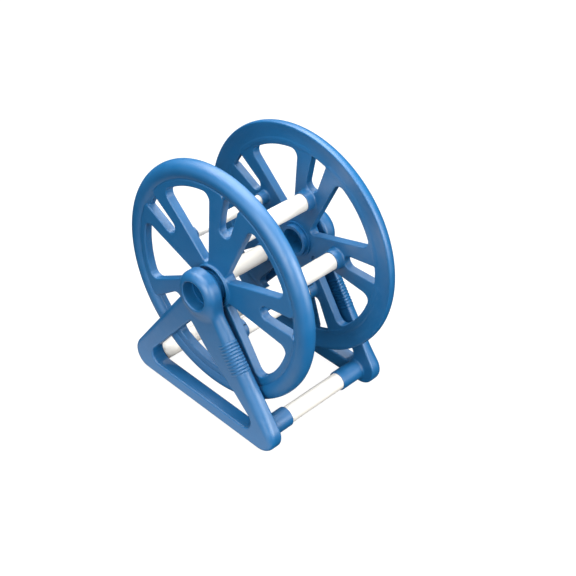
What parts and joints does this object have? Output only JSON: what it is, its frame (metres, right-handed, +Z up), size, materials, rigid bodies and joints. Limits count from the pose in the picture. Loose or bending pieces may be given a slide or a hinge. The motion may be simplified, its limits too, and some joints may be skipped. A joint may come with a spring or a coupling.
{
  "type": "hose reel",
  "caption": "Free-standing pool hose reel: two open spoked wheels joined by round drum tubes, turning between two triangular stands tied by base tubes.",
  "frame": {"origin": "middle of the footprint, on the floor", "axes": "+Z up, X along the reel's axis, the ribbed grips face -Y"},
  "size_m": [0.424, 0.604, 0.655],
  "materials": {
    "blue_plastic": "satin moulded mid-blue plastic with a fine grain",
    "axle_plastic": "satin moulded darker blue plastic",
    "white_pvc": "smooth white PVC pipe with a soft shine"
  },
  "bodies": {
    "stand": {"stand_left": "blue_plastic", "stand_right": "blue_plastic", "base_tube_front": "white_pvc", "base_tube_rear": "white_pvc"},
    "reel": {"rim_left": "blue_plastic", "rim_right": "blue_plastic", "hub_left": "blue_plastic", "hub_right": "blue_plastic", "spoke_left_1": "blue_plastic", "spoke_left_2": "blue_plastic", "spoke_left_3": "blue_plastic", "spoke_left_4": "blue_plastic", "spoke_left_5": "blue_plastic", "spoke_right_1": "blue_plastic", "spoke_right_2": "blue_plastic", "spoke_right_3": "blue_plastic", "spoke_right_4": "blue_plastic", "spoke_right_5": "blue_plastic", "axle_left": "axle_plastic", "axle_right": "axle_plastic", "drum_tube_1": "white_pvc", "drum_tube_2": "white_pvc", "drum_tube_3": "white_pvc", "drum_tube_4": "white_pvc", "drum_tube_5": "white_pvc"}
  },
  "joints": [
    {"name": "reel_spin", "type": "hinge", "parent": "stand", "child": "reel", "pos_m": [0, 0, 0.353], "axis": [1, 0, 0], "continuous": true}
  ]
}
